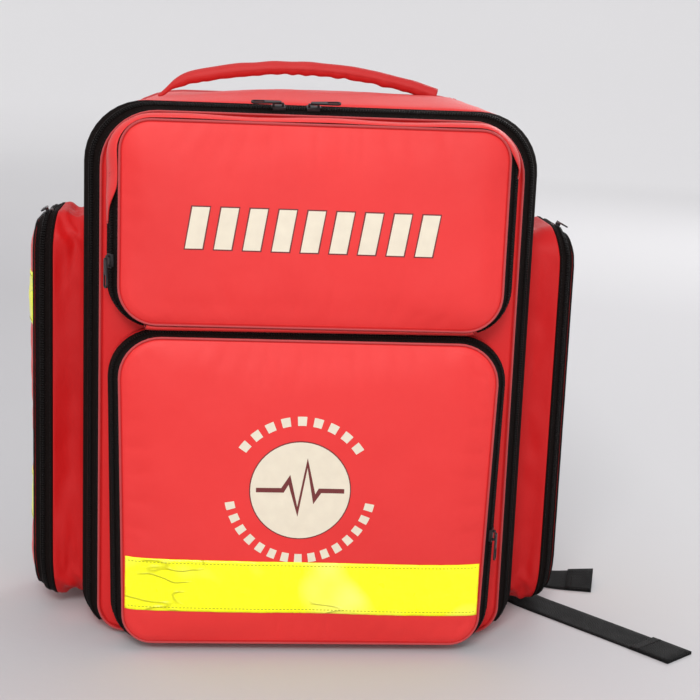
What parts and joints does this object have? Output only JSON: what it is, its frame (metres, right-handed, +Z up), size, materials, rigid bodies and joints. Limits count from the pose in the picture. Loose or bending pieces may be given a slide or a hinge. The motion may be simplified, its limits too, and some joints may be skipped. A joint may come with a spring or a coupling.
{
  "type": "trauma backpack",
  "caption": "Zipped cloth backpack with a hinged front lid, front and side pockets, a grab handle and padded shoulder straps, for carrying emergency medical kit.",
  "frame": {"origin": "on the ground, under the middle of the main compartment's flat base", "axes": "+Z up, -Y out of the front, +X to the right of someone facing the front"},
  "size_m": [0.6323, 0.3532, 0.5355],
  "materials": {
    "red_cloth": "smooth coated polyester, satin, fine weave",
    "red_piping": "coated cloth folded over a cord",
    "red_lining": "matt lining over foam",
    "zipper_tape": "black woven tape with a nylon coil",
    "slider_metal": "gunmetal, semi-gloss",
    "reflective_tape": "glossy fluorescent yellow tape",
    "webbing": "ribbed black webbing",
    "buckle_plastic": "fine-grained moulded plastic",
    "stiffener_board": "flexible sheet",
    "black_padding": "spacer mesh over foam",
    "black_cloth": "coated polyester",
    "black_mesh": "open net with an elastic hem"
  },
  "bodies": {
    "body": {"main_gusset": "red_cloth", "back_panel": "black_cloth", "frame_sheet": "stiffener_board", "base_board": "stiffener_board", "padded_divider": "red_lining", "back_pad": "black_padding", "lumbar_pad": "black_padding", "shoulder_yoke": "webbing", "main_zipper_body_half": "zipper_tape", "left_pocket_gusset": "red_cloth", "right_pocket_gusset": "red_cloth", "left_zipper_inner_half": "zipper_tape", "right_zipper_inner_half": "zipper_tape", "left_lower_webbing": "webbing", "right_lower_webbing": "webbing", "left_strap_tail": "webbing", "right_strap_tail": "webbing"},
    "lid": {"lid_panel": "red_cloth", "lid_piping": "red_piping", "main_zipper_lid_half": "zipper_tape", "lid_mesh_pocket": "black_mesh", "upper_pocket_gusset": "red_cloth", "upper_zipper_inner_half": "zipper_tape", "lower_pocket_gusset": "red_cloth", "lower_zipper_inner_half": "zipper_tape"},
    "upper_flap": {"upper_flap": "red_cloth", "upper_flap_piping": "red_piping", "upper_zipper_outer_half": "zipper_tape"},
    "lower_flap": {"lower_flap": "red_cloth", "lower_flap_piping": "red_piping", "lower_zipper_outer_half": "zipper_tape", "reflective_band": "reflective_tape"},
    "left_flap": {"left_flap": "red_cloth", "left_flap_piping": "black_cloth", "left_zipper_outer_half": "zipper_tape", "left_reflective_lower": "reflective_tape", "left_reflective_upper": "reflective_tape"},
    "right_flap": {"right_flap": "red_cloth", "right_flap_piping": "black_cloth", "right_zipper_outer_half": "zipper_tape", "right_reflective_lower": "reflective_tape", "right_reflective_upper": "reflective_tape"},
    "handle": {"carry_handle": "red_cloth"},
    "left_strap": {"left_shoulder_pad": "black_padding", "left_ladder_lock": "buckle_plastic"},
    "right_strap": {"right_shoulder_pad": "black_padding", "right_ladder_lock": "buckle_plastic"},
    "main_slider_left": {"main_slider_left": "slider_metal"},
    "main_pull_left": {"main_pull_left": "slider_metal"},
    "main_slider_right": {"main_slider_right": "slider_metal"},
    "main_pull_right": {"main_pull_right": "slider_metal"},
    "upper_slider": {"upper_slider": "slider_metal"},
    "upper_pull": {"upper_pull": "slider_metal"},
    "lower_slider": {"lower_slider": "slider_metal"},
    "lower_pull": {"lower_pull": "slider_metal"},
    "left_pocket_slider": {"left_pocket_slider": "slider_metal"},
    "left_pocket_pull": {"left_pocket_pull": "slider_metal"},
    "right_pocket_slider": {"right_pocket_slider": "slider_metal"},
    "right_pocket_pull": {"right_pocket_pull": "slider_metal"}
  },
  "joints": [
    {"name": "lid_hinge", "type": "hinge", "parent": "body", "child": "lid", "pos_m": [0, -0.104, 0.003], "axis": [1, 0, 0], "range_deg": [0, 90]},
    {"name": "upper_flap_hinge", "type": "hinge", "parent": "lid", "child": "upper_flap", "pos_m": [0, -0.1345, 0.305], "axis": [1, 0, 0], "range_deg": [0, 95]},
    {"name": "lower_flap_hinge", "type": "hinge", "parent": "lid", "child": "lower_flap", "pos_m": [0, -0.1455, 0.0085], "axis": [1, 0, 0], "range_deg": [0, 90]},
    {"name": "left_flap_hinge", "type": "hinge", "parent": "body", "child": "left_flap", "pos_m": [-0.25323, 0, 0.019], "axis": [0, -1, 0], "range_deg": [0, 85]},
    {"name": "right_flap_hinge", "type": "hinge", "parent": "body", "child": "right_flap", "pos_m": [0.25323, 0, 0.019], "axis": [0, 1, 0], "range_deg": [0, 85]},
    {"name": "handle_swing", "type": "hinge", "parent": "body", "child": "handle", "pos_m": [0, 0.015, 0.508], "axis": [1, 0, 0], "range_deg": [-60, 60]},
    {"name": "left_strap_swing", "type": "hinge", "parent": "body", "child": "left_strap", "pos_m": [-0.05, 0.094, 0.462], "axis": [1, 0, 0], "range_deg": [0, 12]},
    {"name": "right_strap_swing", "type": "hinge", "parent": "body", "child": "right_strap", "pos_m": [0.05, 0.094, 0.462], "axis": [1, 0, 0], "range_deg": [0, 12]},
    {"name": "main_slider_left_slide", "type": "slide", "parent": "body", "child": "main_slider_left", "axis": [1, 0, 0], "range_m": [-0.1, 0]},
    {"name": "main_pull_left_swing", "type": "hinge", "parent": "main_slider_left", "child": "main_pull_left", "pos_m": [-0.034, -0.09364, 0.50106], "axis": [0, 0.9578, 0.2873], "range_deg": [0, 165]},
    {"name": "main_slider_right_slide", "type": "slide", "parent": "body", "child": "main_slider_right", "axis": [1, 0, 0], "range_m": [0, 0.132]},
    {"name": "main_pull_right_swing", "type": "hinge", "parent": "main_slider_right", "child": "main_pull_right", "pos_m": [-0.002, -0.09364, 0.50106], "axis": [0, -0.9578, -0.2873], "range_deg": [0, 165]},
    {"name": "upper_slider_slide", "type": "slide", "parent": "lid", "child": "upper_slider", "axis": [0, 0, 1], "range_m": [-0.015, 0.085]},
    {"name": "upper_pull_swing", "type": "hinge", "parent": "upper_slider", "child": "upper_pull", "pos_m": [-0.18269, -0.12597, 0.36], "axis": [-0.4504, 0.8928, 0], "range_deg": [0, 165]},
    {"name": "lower_slider_slide", "type": "slide", "parent": "lid", "child": "lower_slider", "axis": [0.0186, 0, 0.9998], "range_m": [-0.06, 0.12]},
    {"name": "lower_pull_swing", "type": "hinge", "parent": "lower_slider", "child": "lower_pull", "pos_m": [0.17786, -0.13417, 0.1119], "axis": [-0.3986, -0.9171, 0.0074], "range_deg": [0, 165]},
    {"name": "left_pocket_slider_slide", "type": "slide", "parent": "body", "child": "left_pocket_slider", "axis": [0, 1, 0], "range_m": [0, 0.036]},
    {"name": "left_pocket_pull_swing", "type": "hinge", "parent": "left_pocket_slider", "child": "left_pocket_pull", "pos_m": [-0.24823, -0.01, 0.38993], "axis": [-0.8909, 0, -0.4542], "range_deg": [0, 165]},
    {"name": "right_pocket_slider_slide", "type": "slide", "parent": "body", "child": "right_pocket_slider", "axis": [0, 1, 0], "range_m": [0, 0.036]},
    {"name": "right_pocket_pull_swing", "type": "hinge", "parent": "right_pocket_slider", "child": "right_pocket_pull", "pos_m": [0.24527, -0.01, 0.38993], "axis": [-0.8912, 0, 0.4537], "range_deg": [0, 165]}
  ]
}
